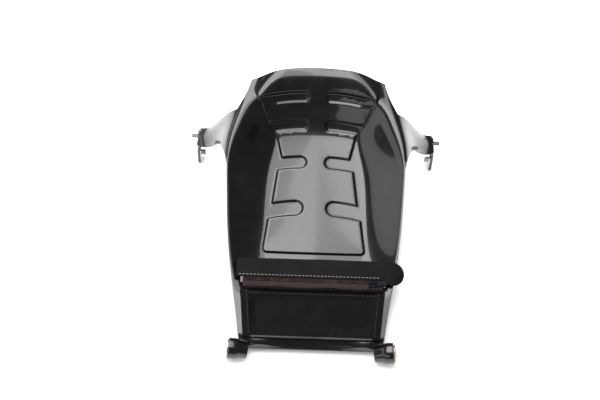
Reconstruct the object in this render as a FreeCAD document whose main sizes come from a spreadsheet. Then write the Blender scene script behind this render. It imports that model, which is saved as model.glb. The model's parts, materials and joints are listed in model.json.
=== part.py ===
import FreeCAD
import Part
import math
import os

# Motorcycle tank cover: a moulded plastic tub with a raised comb relief, two ears
# with clip nuts, two bushed rear lugs and a zipped leather pouch on the rear shelf.
# Frame: X to the right, Y forward, Z up, millimetres, resting on Z = 0.

doc = FreeCAD.newDocument("tank_cover")
sheet = doc.addObject("Spreadsheet::Sheet", "sizes")
V = FreeCAD.Vector
row = 0


def size(alias, value):
    global row
    row += 1
    sheet.set("A%d" % row, alias)
    sheet.set("B%d" % row, str(value))
    sheet.setAlias("B%d" % row, alias)


# Moulded tub, one line per cross-section from the rear lip to the front lip:
# place along Y, floor height, floor half width, rim height, rim half width,
# height that the outer flank falls to, width of that fall (0: as far as the ear tip).
STATIONS = [
    ("shelf_end", -181, 5, 56, 8, 79, 3, 16),
    ("shelf_turn", -170, 15, 57, 17.5, 81, 4, 16),
    ("shelf", -150, 22, 58, 24, 84, 4, 16),
    ("shelf_top", -105, 30, 61, 35, 91, 4, 16),
    ("bay_rear", -55, 33.5, 64, 53, 98, 8, 16),
    ("bay_mid", 15, 45, 66, 82, 104, 26, 16),
    ("ear_rear", 70, 57, 60, 101, 111, 38, 36),
    ("ear_mid", 105, 70, 54, 111, 101, 36, 0),
    ("wall_mid", 138, 102, 55, 118, 91, 38, 0),
    ("lip_crest", 159, 131, 66, 125, 85, 60, 40),
    ("lip_end", 175, 135.5, 70, 126.5, 80, 84, 26),
]
FIELDS = ["place", "floor_high", "floor_half", "rim_high", "rim_half", "flank_low", "flank_wide"]

SIZES = {
    # Moulded tub
    "wall_thick": 3,
    "front_bow": 20,
    "bow_half": 90,
    "rear_edge": -178,
    "front_edge": 171,
    "front_corner": 156,
    "flank_seen": 8,
    "sheet_spare": 14,
    "flank_spare": 4,
    "ear_tip_half": 162,
    "ear_near": 112,
    "ear_far": 141,
    "ear_root": 42,
    "ear_corner": 4,
    "ear_notch": 116,
    "notch_out": 8,
    "brow_out": 1.5,
    "cutter_high": 200,
    "cutter_low": -50,
    "hole_spare": 10,
    # Comb relief: places of the slots along the bowed floor line, half widths of the ribs
    "relief_high": 2.4,
    "relief_lean": 31,
    "relief_rear": -55,
    "relief_front": 153,
    "relief_front_half": 82,
    "spine_half": 12,
    "spine_half_rear": 15,
    "slot_front_place": 143,
    "slot_front_wide": 7,
    "slot_wall_place": 118.5,
    "slot_wall_wide": 10,
    "slot_floor_place": 72.5,
    "slot_floor_wide": 16,
    "slot_rear_place": 8.5,
    "slot_rear_wide": 20,
    "rib_front_half": 78,
    "rib_front_half_low": 63,
    "rib_wall_half": 53,
    "rib_wall_half_low": 44.5,
    "rib_floor_half": 49.5,
    "rib_floor_half_low": 55,
    "rib_rear_half": 59.5,
    "rib_rear_half_low": 64.5,
    # Rear lugs and their flanged bushes
    "lug_behind": 4.5,
    "lug_out": 13.3,
    "lug_radius": 13,
    "lug_long": 24,
    "lug_tilt": 12,
    "bush_bore_radius": 4.2,
    "bush_sleeve_radius": 6,
    "bush_flange_radius": 10.5,
    "bush_flange_thick": 1.5,
    "bush_gap": 0.05,
    # Ear tabs, tongues and folded clip nuts
    "tab_thick": 3,
    "tab_inset": 1,
    "tab_wide": 13,
    "tab_low": 1.6,
    "tab_place": 116.5,
    "tab_hole_radius": 4,
    "tab_hole_high": 16,
    "tongue_place": 131,
    "tongue_root": 6,
    "tongue_long": 8,
    "tongue_wide": 6,
    "tongue_thick": 1.8,
    "clip_sheet": 1,
    "clip_gap": 0.2,
    "clip_wide": 12,
    "clip_high": 26,
    "clip_barrel_radius": 5,
    "clip_barrel_long": 6,
    "clip_bore_radius": 2.5,
    # Leather pouch, in its own sloping plane
    "pouch_place": -170,
    "pouch_high": 25.2,
    "pouch_slope": 14.6,
    "leather": 1.8,
    "panel_half_low": 82,
    "panel_half": 88,
    "panel_long": 62,
    "pouch_depth": 3.6,
    "band_wide": 8,
    "band_thick": 1,
    "hem_wide": 4,
    "fit": 0.1,
    "flap_set": 3.4,
    "flap_wide": 24,
    "flap_left": 95,
    "flap_right": 98,
    "tab_radius": 15,
    "rivet_head_radius": 4,
    "rivet_head_thick": 1.2,
    "rivet_shank_radius": 2,
    "rivet_tail": 5.5,
    "rivet_hole_long": 50,
    "rivet_half": 45,
    "rivet_rear": 14,
    "rivet_front": 48,
    # Zip
    "tape_thick": 0.6,
    "tape_lap": 8,
    "tape_gap": 3.2,
    "chain_set": 9.6,
    "chain_wide": 4,
    "chain_high": 2.4,
    "chain_end": 86,
    "tooth_pitch": 3,
    "tooth_long": 1.7,
    "tooth_first": 0.3,
    "core_lead": 4,
    "stop_long": 3,
    "slider_long": 11,
    "slider_wide": 9,
    "slider_plate": 1.1,
    "slider_gap": 0.35,
    "slider_post": 1.6,
    "slider_rest": 74,
    "bridge_thick": 1.2,
    "bridge_rise": 1.8,
    "bridge_half": 3.6,
    "bridge_set": 1,
    "pull_long": 17,
    "pull_wide": 6,
    "pull_thick": 1,
    "pull_back": 0.2,
    "pull_eye_start": 1,
    "pull_eye_end": 5.6,
}

# Ear edges in plan: share of the reach inward from the tip (near edge) or outward from
# the notch (far edge), and share of the way along Y.
EAR_NEAR = [(0.86, 0.36), (0.62, 0.72), (0.12, 1.0)]
EAR_FAR = [(0.71, 0.90), (0.39, 0.44)]
GRID_ROWS = 44
GRID_ZONE = 5
for station in STATIONS:
    for field, value in zip(FIELDS, station[1:]):
        size("%s_%s" % (station[0], field), value)
for alias, value in SIZES.items():
    size(alias, value)
# The zip keeps its distance from the panel's top edge, and the flap from the zip.
size("chain_place", "=panel_long + chain_set")
size("flap_start", "=chain_place + flap_set")
doc.recompute()


def get(alias):
    return float(sheet.get(alias))


def smooth(t):
    t = min(max(t, 0.0), 1.0)
    return t * t * (3.0 - 2.0 * t)


def spline(field):
    # Natural cubic curve through one field of the cross-sections.
    xs = [get(s[0] + "_place") for s in STATIONS]
    ys = [get(s[0] + "_" + field) for s in STATIONS]
    if field == "flank_wide":
        reach = get("ear_tip_half") - get("flank_spare")
        ys = [y or reach - get(s[0] + "_rim_half") for s, y in zip(STATIONS, ys)]
    n = len(xs)
    h = [xs[i + 1] - xs[i] for i in range(n - 1)]
    diag = [1.0] * n
    up = [0.0] * n
    rhs = [0.0] * n
    for i in range(1, n - 1):
        bend = 6 * ((ys[i + 1] - ys[i]) / h[i] - (ys[i] - ys[i - 1]) / h[i - 1])
        diag[i] = 2 * (h[i - 1] + h[i]) - h[i - 1] * up[i - 1] / diag[i - 1]
        up[i] = h[i]
        rhs[i] = bend - h[i - 1] * rhs[i - 1] / diag[i - 1]
    m = [0.0] * n
    for i in range(n - 2, 0, -1):
        m[i] = (rhs[i] - up[i] * m[i + 1]) / diag[i]

    def value(x):
        x = min(max(x, xs[0]), xs[-1])
        i = 0
        while i < n - 2 and x > xs[i + 1]:
            i += 1
        a = xs[i + 1] - x
        b = x - xs[i]
        bent = (m[i] * a ** 3 + m[i + 1] * b ** 3) / (6 * h[i])
        flat = (ys[i] / h[i] - m[i] * h[i] / 6) * a
        return bent + flat + (ys[i + 1] / h[i] - m[i + 1] * h[i] / 6) * b

    return value


floor_high = spline("floor_high")
floor_half = spline("floor_half")
rim_high = spline("rim_high")
rim_half = spline("rim_half")
flank_low = spline("flank_low")
flank_wide = spline("flank_wide")


def bow(x):
    return get("front_bow") * (abs(x) / get("bow_half")) ** 2.5


def height(x, y):
    a = abs(x)
    rim = rim_half(y)
    foot = floor_half(y)
    if a <= rim:
        low = floor_high(y + bow(x))
        return low + (rim_high(y) - low) * smooth((a - foot) / (rim - foot))
    fall = smooth((a - rim) / flank_wide(y))
    return rim_high(y) - (rim_high(y) - flank_low(y)) * fall


def normal(x, y):
    e = 0.05
    n = V(height(x - e, y) - height(x + e, y), height(x, y - e) - height(x, y + e), 2 * e)
    return n.normalize()


def across(u, y):
    # Grid line u runs 0 at the middle, 1 at the floor edge, 2 at the rim, 3 outside.
    a = abs(u)
    foot = floor_half(y)
    rim = rim_half(y)
    if a <= 1:
        x = a * foot
    elif a <= 2:
        x = foot + (a - 1) * (rim - foot)
    else:
        x = rim + (a - 2) * (flank_wide(y) + get("sheet_spare"))
    return math.copysign(x, u)


def tub_sheet():
    first = get("rear_edge") - get("sheet_spare")
    last = get("front_edge") + get("sheet_spare")
    rows = [first + (last - first) * i / GRID_ROWS for i in range(GRID_ROWS + 1)]
    cols = [i / GRID_ZONE for i in range(-3 * GRID_ZONE, 3 * GRID_ZONE + 1)]
    top = []
    under = []
    for y in rows:
        line = []
        line_under = []
        for u in cols:
            x = across(u, y)
            p = V(x, y, height(x, y))
            line.append(p)
            line_under.append(p - normal(x, y) * get("wall_thick"))
        top.append(line)
        under.append(line_under)
    faces = []
    for grid in (top, under):
        surface = Part.BSplineSurface()
        surface.interpolate(grid)
        faces.append(surface.toShape())
    upper = faces[0].Edges
    lower = faces[1].Edges
    for a in upper:
        mid = a.valueAt((a.FirstParameter + a.LastParameter) / 2)
        b = min(lower, key=lambda e: e.distToShape(Part.Vertex(mid))[0])
        faces.append(Part.makeRuledSurface(a, b))
    solid = Part.makeSolid(Part.makeShell(Part.Shell(faces).Faces))
    if solid.Volume < 0:
        solid.reverse()
    return solid


def curve(points):
    line = Part.BSplineCurve()
    line.interpolate(points)
    return line.toShape()


def line(a, b):
    return Part.makeLine(a, b)


def other_half(edges):
    return [e.mirror(V(0, 0, 0), V(1, 0, 0)) for e in edges]


def tub_outline():
    # Plan outline: rear edge, flanks beside the rims, ears, brows and bowed front lip.
    rear = get("rear_edge")
    root = get("ear_root")
    tip = get("ear_tip_half")
    near = get("ear_near")
    far = get("ear_far")
    cut = get("ear_corner")
    side = []
    for part in (0.0, 0.25, 0.5, 0.75, 1.0):
        y = rear + (root - rear) * part
        side.append(V(rim_half(y) + get("flank_seen"), y, 0))
    reach = tip - side[-1].x
    ear = [side[-1]]
    for inward, along in EAR_NEAR:
        ear.append(V(tip - inward * reach, root + along * (near - root), 0))
    tip_near = V(tip, near + cut, 0)
    tip_far = V(tip, far - cut, 0)
    start = get("ear_notch")
    notch = V(rim_half(start) + get("notch_out"), start, 0)
    back = [V(tip - cut, far, 0)]
    for outward, along in EAR_FAR:
        back.append(V(notch.x + outward * (tip - notch.x), start + along * (far - start), 0))
    back.append(notch)
    brow = [notch]
    for part in (0.25, 0.5, 0.75, 1.0):
        y = start + part * (get("front_corner") - start)
        out = get("brow_out") + (get("notch_out") - get("brow_out")) * (1 - part) ** 2
        brow.append(V(rim_half(y) + out, y, 0))
    corner = brow[-1]
    right = [curve(side), curve(ear), line(ear[-1], tip_near), line(tip_near, tip_far)]
    right += [line(tip_far, back[0]), curve(back), curve(brow)]
    front = Part.Arc(corner, V(0, get("front_edge"), 0), V(-corner.x, corner.y, 0)).toShape()
    base = line(V(-side[0].x, rear, 0), side[0])
    return Part.Face(Part.Wire(Part.__sortEdges__([base, front] + right + other_half(right))))


def bowed(x, place):
    return V(x, place - bow(x), 0)


def comb_outline():
    # Right half from the rear middle to the front middle; slots open to the side.
    slots = []
    for name in ("rear", "floor", "wall", "front"):
        inner = get("spine_half_rear") if name == "rear" else get("spine_half")
        slots.append((get("slot_%s_place" % name), get("slot_%s_wide" % name), inner))
    low_half = [get("rib_%s_half_low" % n) for n in ("rear", "floor", "wall", "front")]
    high_half = [get("rib_%s_half" % n) for n in ("rear", "floor", "wall", "front")]
    edges = []
    here = V(low_half[0], get("relief_rear"), 0)
    start = here
    for i, (place, wide, inner) in enumerate(slots):
        r = wide / 2.0
        mouth_low = bowed(high_half[i], place - r)
        edges.append(line(here, mouth_low))
        throat = inner + r
        steps = [high_half[i] + (throat - high_half[i]) * k / 3.0 for k in range(4)]
        edges.append(curve([bowed(x, place - r) for x in steps]))
        ends = [bowed(throat, place - r), bowed(inner, place), bowed(throat, place + r)]
        edges.append(Part.Arc(*ends).toShape())
        out = low_half[i + 1] if i < 3 else get("relief_front_half")
        steps = [throat + (out - throat) * k / 3.0 for k in range(4)]
        edges.append(curve([bowed(x, place + r) for x in steps]))
        here = bowed(out, place + r)
    front = get("relief_front")
    half = get("relief_front_half")
    edges.append(line(here, bowed(half, front)))
    steps = [half - half * k / 4.0 for k in range(9)]
    top = curve([bowed(x, front) for x in steps])
    base = line(V(-start.x, start.y, 0), start)
    return Part.Face(Part.Wire(Part.__sortEdges__([base, top] + edges + other_half(edges))))


def feature(name, shape):
    obj = doc.addObject("Part::Feature", name)
    obj.Shape = shape
    return obj


def join(kind, name, parts):
    obj = doc.addObject(kind, name)
    if kind == "Part::Cut":
        obj.Base = parts[0]
        obj.Tool = parts[1]
    else:
        obj.Shapes = parts
    return obj


def cylinder(name, radius, long, place):
    obj = doc.addObject("Part::Cylinder", name)
    obj.setExpression("Radius", radius)
    obj.setExpression("Height", long)
    obj.Placement = place
    return obj


def wedge(name, x0, x1, y0, y1, z0, z1, far_x0=None, far_x1=None):
    # Block between the given faces; the far end may have its own half widths.
    obj = doc.addObject("Part::Wedge", name)
    ends = {"Xmin": x0, "Xmax": x1, "Ymin": y0, "Ymax": y1, "Zmin": z0, "Zmax": z1}
    ends.update({"X2min": far_x0 or x0, "X2max": far_x1 or x1, "Z2min": z0, "Z2max": z1})
    for key, text in ends.items():
        obj.setExpression(key, re_sheet(text))
    return obj


def sided(side, near, far):
    # Faces at two distances from the middle plane, on the left or on the right.
    if side > 0:
        return [near, far]
    return ["0 - ( %s )" % far, "0 - ( %s )" % near]


def re_sheet(text):
    # Names in an expression are cells of the sheet.
    out = []
    for word in text.replace("(", " ( ").replace(")", " ) ").split():
        plain = word.lstrip("-")
        sign = word[: len(word) - len(plain)]
        out.append(sign + "sizes." + plain if plain[:1].isalpha() else word)
    return " ".join(out)


def cutter(name, face):
    # Upright prism over a plan outline, taller than the tub.
    obj = feature(name, face.extrude(V(0, 0, get("cutter_high") - get("cutter_low"))))
    obj.Placement = FreeCAD.Placement(V(0, 0, get("cutter_low")), FreeCAD.Rotation())
    return obj


# Tub, trimmed to its plan outline.
tub = feature("tub_sheet", tub_sheet())
tub_trim = join("Part::MultiCommon", "tub_trim", [tub, cutter("tub_outline", tub_outline())])

# Comb relief: the same sheet lifted off the floor and wall, cut to the comb.
lift = get("relief_high")
lean = math.radians(get("relief_lean"))
raised = feature("relief_sheet", tub_sheet())
raised.Placement = FreeCAD.Placement(
    V(0, -math.sin(lean) * lift, math.cos(lean) * lift), FreeCAD.Rotation()
)
relief = join("Part::MultiCommon", "relief", [raised, cutter("comb_outline", comb_outline())])


lug_place = get("rear_edge") - get("lug_behind")
lug_face_half = rim_half(get("rear_edge")) + get("flank_seen") + get("lug_out")


def side_place(side, along=0.0):
    # Frame of a rear lug: Z runs outward along the bush axis, measured from the lug face.
    tilt = math.radians(get("lug_tilt"))
    out = V(side * math.cos(tilt), 0, math.sin(tilt))
    high = get("lug_radius") * math.cos(tilt) + get("lug_long") * math.sin(tilt)
    face = V(side * lug_face_half, lug_place, high)
    return FreeCAD.Placement(face + out * along, FreeCAD.Rotation(V(0, 0, 1), out))


def across_place(side, half):
    # Frame on an ear tab at the height of its hole: Z runs outward along X.
    turn = FreeCAD.Rotation(V(0, 0, 1), V(side, 0, 0))
    return FreeCAD.Placement(V(side * half, get("tab_place"), get("tab_hole_high")), turn)


adds = [tub_trim, relief]
holes = []
SIDES = (("left", -1), ("right", 1))
long = get("lug_long")
spare = get("hole_spare")
through = "sizes.lug_long + 2 * sizes.hole_spare"
ear_mid = "ear_mid_flank_low - wall_thick / 2"
tab_inner = "ear_tip_half - tab_inset - tab_thick"
tab_outer = "ear_tip_half - tab_inset"
tab_inner_half = get("ear_tip_half") - get("tab_inset") - get("tab_thick")
for word, side in SIDES:
    # Rear lug and the hole for its bush.
    place = side_place(side, -long)
    adds.append(cylinder("lug_" + word, "sizes.lug_radius", "sizes.lug_long", place))
    place = side_place(side, -long - spare)
    holes.append(
        cylinder("lug_hole_" + word, "sizes.bush_sleeve_radius + sizes.bush_gap", through, place)
    )

    # Ear tab hanging from the ear tip, with the thin tongue beside it.
    x0, x1 = sided(side, tab_inner, tab_outer)
    y0 = "tab_place - tab_wide / 2"
    y1 = "tab_place + tab_wide / 2"
    adds.append(wedge("tab_" + word, x0, x1, y0, y1, "tab_low", ear_mid))
    x0, x1 = sided(side, "ear_tip_half - tongue_root", "ear_tip_half + tongue_long")
    y0 = "tongue_place - tongue_wide / 2"
    y1 = "tongue_place + tongue_wide / 2"
    z0 = ear_mid + " - tongue_thick / 2"
    z1 = ear_mid + " + tongue_thick / 2"
    adds.append(wedge("tongue_" + word, x0, x1, y0, y1, z0, z1))
    place = across_place(side, tab_inner_half - spare)
    bore_long = "sizes.tab_thick + 2 * sizes.hole_spare"
    holes.append(cylinder("tab_hole_" + word, "sizes.tab_hole_radius", bore_long, place))

# Rivet holes through the shelf.
pouch_frame = FreeCAD.Placement(
    V(0, get("pouch_place"), get("pouch_high")), FreeCAD.Rotation(V(1, 0, 0), get("pouch_slope"))
)
rivet_spots = []
for part in ("rear", "front"):
    for side in (-1, 1):
        rivet_spots.append(V(side * get("rivet_half"), get("rivet_" + part), 0))
back_under = -get("pouch_depth") - get("leather")
for i, spot in enumerate(rivet_spots):
    low = spot + V(0, 0, back_under - get("rivet_hole_long") / 2)
    place = pouch_frame.multiply(FreeCAD.Placement(low, FreeCAD.Rotation()))
    radius = "sizes.rivet_shank_radius + sizes.fit"
    holes.append(cylinder("rivet_hole_%d" % i, radius, "sizes.rivet_hole_long", place))

body = adds[0]
for piece in adds[1:]:
    body = join("Part::MultiFuse", "with_" + piece.Name, [body, piece])
cuts = join("Part::MultiFuse", "cover_holes", holes)
cover = join("Part::Cut", "cover_shell", [body, cuts])

nodes = {"cover_shell": cover}

for word, side in SIDES:
    # Flanged steel bush pressed into the lug.
    place = side_place(side, get("fit"))
    flange = cylinder("flange_" + word, "sizes.bush_flange_radius", "sizes.bush_flange_thick", place)
    sleeve_long = "sizes.lug_long + sizes.bush_flange_thick / 2"
    place = side_place(side, -long)
    sleeve = cylinder("sleeve_" + word, "sizes.bush_sleeve_radius", sleeve_long, place)
    place = side_place(side, -long - spare)
    bore = cylinder("bush_bore_" + word, "sizes.bush_bore_radius", through, place)
    both = join("Part::MultiFuse", "bush_body_" + word, [flange, sleeve])
    nodes["rear_bush_" + word] = join("Part::Cut", "rear_bush_" + word, [both, bore])

    # Clip nut: a folded sheet over the tab with a threaded barrel on the inner leaf.
    y0 = "tab_place - clip_wide / 2"
    y1 = "tab_place + clip_wide / 2"
    inner = tab_inner + " - clip_gap"
    outer = tab_outer + " + clip_gap"
    x0, x1 = sided(side, inner + " - clip_sheet", outer + " + clip_sheet")
    block = wedge("clip_block_" + word, x0, x1, y0, y1, "0", "clip_high")
    x0, x1 = sided(side, inner, outer)
    y0 = "tab_place - clip_wide"
    y1 = "tab_place + clip_wide"
    slot = wedge("clip_slot_" + word, x0, x1, y0, y1, "clip_sheet", "clip_high + clip_sheet")
    leaf = join("Part::Cut", "clip_leaf_" + word, [block, slot])
    start = tab_inner_half - get("clip_gap") - get("clip_barrel_long") - get("clip_sheet")
    place = across_place(side, start)
    barrel_long = "sizes.clip_barrel_long + sizes.clip_sheet / 2"
    barrel = cylinder("clip_barrel_" + word, "sizes.clip_barrel_radius", barrel_long, place)
    place = across_place(side, start - spare)
    bore_long = "sizes.clip_barrel_long + sizes.tab_thick + 3 * sizes.hole_spare"
    thread = cylinder("clip_thread_" + word, "sizes.clip_bore_radius", bore_long, place)
    whole = join("Part::MultiFuse", "clip_body_" + word, [leaf, barrel])
    nodes["clip_nut_" + word] = join("Part::Cut", "clip_nut_" + word, [whole, thread])

# Pouch panels, edge bands and hem, in the sloping plane of the pouch.
panel = wedge("pouch_front", "0 - panel_half_low", "panel_half_low", "0", "panel_long", "0", "leather",
              "0 - panel_half", "panel_half")
back_low = "0 - pouch_depth - leather"
back_long = "flap_start + tape_lap"
back_sheet = wedge("back_sheet", "0 - panel_half_low", "panel_half_low", "0", back_long, back_low,
                   "0 - pouch_depth", "0 - panel_half", "panel_half")
back_wall = wedge("back_wall", "0 - panel_half", "panel_half", back_long + " - leather", back_long,
                  back_low, "0 - tape_thick - fit - fit")
back_solid = join("Part::MultiFuse", "back_solid", [back_sheet, back_wall])
back_holes = []
for i, spot in enumerate(rivet_spots):
    place = FreeCAD.Placement(spot + V(0, 0, back_under - spare), FreeCAD.Rotation())
    radius = "sizes.rivet_shank_radius + sizes.fit"
    back_holes.append(cylinder("back_hole_%d" % i, radius, "2 * sizes.hole_spare", place))
back_cuts = join("Part::MultiFuse", "back_holes", back_holes)
nodes["pouch_front"] = panel
nodes["pouch_back"] = join("Part::Cut", "pouch_back", [back_solid, back_cuts])
band_top = "leather + fit + band_thick"
for word, side in SIDES:
    x0, x1 = sided(side, "panel_half_low - band_wide", "panel_half_low + fit + band_thick")
    far0, far1 = sided(side, "panel_half - band_wide", "panel_half + fit + band_thick")
    top = wedge("band_top_" + word, x0, x1, "0", "panel_long", "leather + fit", band_top, far0, far1)
    x0, x1 = sided(side, "panel_half_low + fit", "panel_half_low + fit + band_thick")
    far0, far1 = sided(side, "panel_half + fit", "panel_half + fit + band_thick")
    skirt = wedge("band_skirt_" + word, x0, x1, "0", "panel_long", back_low, band_top, far0, far1)
    nodes["pouch_band_" + word] = join("Part::MultiFuse", "pouch_band_" + word, [top, skirt])
hem_wall = wedge("hem_wall", "0 - panel_half_low", "panel_half_low", "0 - fit - band_thick", "0 - fit",
                 back_low, band_top)
hem_top = wedge("hem_top", "0 - panel_half_low + band_wide + fit", "panel_half_low - band_wide - fit",
                "0 - fit - band_thick", "hem_wide", "leather + fit", band_top)
nodes["pouch_hem"] = join("Part::MultiFuse", "pouch_hem", [hem_wall, hem_top])

# Flap: a strip with a half-round tab on the right.
strip = wedge("flap_strip", "0 - flap_left", "flap_right", "flap_start", "flap_start + flap_wide",
              "0", "leather")
tab_centre = V(get("flap_right"), get("flap_start") + get("flap_wide") - get("tab_radius"), 0)
tab_place = FreeCAD.Placement(tab_centre, FreeCAD.Rotation())
tab = cylinder("flap_tab", "sizes.tab_radius", "sizes.leather", tab_place)
nodes["pouch_flap"] = join("Part::MultiFuse", "pouch_flap", [strip, tab])

# Zip: two tapes, the toothed chain and its end stops.
tape_low = "0 - tape_thick - fit"
tape_gap_low = "chain_place - tape_gap / 2"
tape_gap_high = "chain_place + tape_gap / 2"
nodes["zip_tape_front"] = wedge("zip_tape_front", "0 - chain_end", "chain_end", "panel_long - tape_lap",
                                tape_gap_low, tape_low, "0 - fit")
nodes["zip_tape_rear"] = wedge("zip_tape_rear", "0 - chain_end", "chain_end", tape_gap_high,
                               "flap_start + tape_lap", tape_low, "0 - fit")
doc.recompute()
chain_body = doc.addObject("PartDesign::Body", "zip_chain")
core = chain_body.newObject("PartDesign::AdditiveBox", "chain_core")
row_long = get("chain_end") + get("slider_rest") - get("slider_long") / 2
core_low = get("chain_place") - get("tape_gap") / 2 + get("fit")
core.setExpression(
    "Length", "sizes.chain_end + sizes.slider_rest - sizes.slider_long / 2 + sizes.core_lead"
)
core.setExpression("Width", "sizes.tape_gap - 2 * sizes.fit")
core.setExpression("Height", "sizes.tape_thick")
core.Placement = FreeCAD.Placement(
    V(-get("chain_end"), core_low, -get("tape_thick") - get("fit")), FreeCAD.Rotation()
)
tooth = chain_body.newObject("PartDesign::AdditiveBox", "chain_tooth")
tooth.setExpression("Length", "sizes.tooth_long")
tooth.setExpression("Width", "sizes.tape_gap - 2 * sizes.fit")
tooth.setExpression("Height", "sizes.chain_high")
tooth_low = -get("chain_high") / 2 - get("fit") - get("tape_thick") / 2
tooth.Placement = FreeCAD.Placement(
    V(-get("chain_end") + get("tooth_first"), core_low, tooth_low), FreeCAD.Rotation()
)
doc.recompute()
count = int(row_long / get("tooth_pitch"))
teeth = chain_body.newObject("PartDesign::LinearPattern", "chain_teeth")
teeth.Originals = [tooth]
axis = [f for f in chain_body.Origin.OriginFeatures if f.Role == "X_Axis"][0]
teeth.Direction = (axis, [""])
teeth.Length = get("tooth_pitch") * (count - 1)
teeth.Occurrences = count
chain_body.Tip = teeth
nodes["zip_chain"] = chain_body

nodes["zip_stop"] = wedge("zip_stop", "0 - chain_end - stop_long - fit", "0 - chain_end - fit",
                          "chain_place - chain_wide", "flap_start - slider_gap", "0 - chain_high / 2",
                          "chain_high / 2")

# Slider: two plates and a post ahead of the closed teeth, with a bridge for the pull.
x0 = "slider_rest - slider_long / 2"
x1 = "slider_rest + slider_long / 2"
under = "0 - chain_high / 2 - fit - tape_thick / 2 - slider_gap"
over = "chain_high / 2 - fit - tape_thick / 2 + slider_gap"
plate_top = over + " + slider_plate"
upper = wedge("slider_upper", x0, x1, "flap_start - slider_wide - slider_gap", "flap_start - slider_gap",
              over, plate_top)
lower = wedge("slider_lower", x0, x1, "chain_place - slider_wide / 2", "chain_place + slider_wide / 2",
              under + " - slider_plate", under)
post = wedge("slider_stem", x1 + " - slider_post", x1, "chain_place - slider_post / 2",
             "chain_place + slider_post / 2", under + " - slider_plate", plate_top)
bridge_low = "chain_place - bridge_set - bridge_thick / 2"
bridge_high = "chain_place - bridge_set + bridge_thick / 2"
bridge_left = "slider_rest - bridge_half"
bridge_right = "slider_rest + bridge_half"
loop = wedge("bridge_block", bridge_left, bridge_right, bridge_low, bridge_high,
             over + " + slider_plate / 2", plate_top + " + bridge_rise + bridge_thick")
eye = wedge("bridge_eye", bridge_left + " + bridge_thick", bridge_right + " - bridge_thick",
            bridge_low + " - bridge_thick", bridge_high + " + bridge_thick", plate_top,
            plate_top + " + bridge_rise")
bridge = join("Part::Cut", "slider_bridge", [loop, eye])
nodes["zip_slider"] = join("Part::MultiFuse", "zip_slider", [upper, lower, post, bridge])

# Pull: a flat tag whose eye goes round the bridge.
pull_low = plate_top + " + slider_gap"
pull_high = pull_low + " + pull_thick"
pull_start = "slider_rest - pull_back"
tag = wedge("pull_tag", pull_start, pull_start + " + pull_long", "chain_place - bridge_set - pull_wide / 2",
            "chain_place - bridge_set + pull_wide / 2", pull_low, pull_high)
gap = wedge("pull_eye", "slider_rest + pull_eye_start", "slider_rest + pull_eye_end",
            bridge_low + " - slider_gap", bridge_high + " + slider_gap", pull_low + " - pull_thick",
            pull_high + " + pull_thick")
nodes["zip_pull"] = join("Part::Cut", "zip_pull", [tag, gap])

# Blind rivets that hold the back of the pouch to the shelf.
for i, spot in enumerate(rivet_spots):
    base = FreeCAD.Placement(spot + V(0, 0, -get("pouch_depth") + get("fit")), FreeCAD.Rotation())
    head = cylinder("rivet_head_%d" % i, "sizes.rivet_head_radius", "sizes.rivet_head_thick", base)
    low = FreeCAD.Placement(spot + V(0, 0, back_under - get("rivet_tail")), FreeCAD.Rotation())
    shank_long = "sizes.leather + sizes.rivet_tail + sizes.rivet_head_thick / 2"
    shank = cylinder("rivet_shank_%d" % i, "sizes.rivet_shank_radius", shank_long, low)
    name = "pouch_rivet_%d" % (i + 1)
    nodes[name] = join("Part::MultiFuse", name, [head, shank])

# The whole object is moved along Y so that its box is centred on the frame.
rearmost = lug_place - get("lug_radius")
centred = FreeCAD.Placement(V(0, -(get("front_edge") + rearmost) / 2, 0), FreeCAD.Rotation())
for name, obj in nodes.items():
    obj.Label = name
    if name.startswith("pouch") or name.startswith("zip"):
        obj.Placement = pouch_frame
    obj.Placement = centred.multiply(obj.Placement)
doc.recompute()

for obj in doc.Objects:
    for state in obj.State:
        if state in ("Invalid", "Error"):
            raise RuntimeError("%s: %s" % (obj.Name, state))
os.makedirs("parts", exist_ok=True)
for name, obj in nodes.items():
    shape = obj.Shape
    if shape.isNull() or not shape.isValid():
        raise RuntimeError("bad shape: " + name)
    if len(shape.Solids) != 1:
        raise RuntimeError("%s has %d solids" % (name, len(shape.Solids)))
    shape.exportStep("parts/%s.step" % name)
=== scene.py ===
import json
import math
import bpy
import numpy as np
from mathutils import Matrix, Vector
from mathutils.bvhtree import BVHTree
from mathutils.geometry import delaunay_2d_cdt


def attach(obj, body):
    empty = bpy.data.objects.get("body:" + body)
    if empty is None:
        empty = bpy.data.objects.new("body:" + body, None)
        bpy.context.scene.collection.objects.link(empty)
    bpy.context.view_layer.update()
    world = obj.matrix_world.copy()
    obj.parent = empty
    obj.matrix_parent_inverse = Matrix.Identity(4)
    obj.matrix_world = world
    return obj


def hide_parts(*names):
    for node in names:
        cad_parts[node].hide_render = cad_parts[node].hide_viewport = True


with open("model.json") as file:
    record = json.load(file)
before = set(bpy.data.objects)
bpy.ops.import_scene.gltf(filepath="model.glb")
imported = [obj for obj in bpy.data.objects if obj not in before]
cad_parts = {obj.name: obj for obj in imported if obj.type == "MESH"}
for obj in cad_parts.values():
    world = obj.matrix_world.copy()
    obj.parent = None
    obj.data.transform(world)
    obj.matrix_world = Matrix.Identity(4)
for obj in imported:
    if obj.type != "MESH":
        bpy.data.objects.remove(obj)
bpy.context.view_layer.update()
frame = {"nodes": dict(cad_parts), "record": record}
nodes = frame["nodes"]


# Shader helpers

def material(name):
    mat = bpy.data.materials.new(name)
    mat.use_nodes = True
    return mat, mat.node_tree, mat.node_tree.nodes["Principled BSDF"]


def put(tree, kind, **values):
    # A node with its sockets and settings given by name.
    node = tree.nodes.new(kind)
    for key, value in values.items():
        if key in node.inputs:
            node.inputs[key].default_value = value
        else:
            setattr(node, key, value)
    return node


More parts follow.
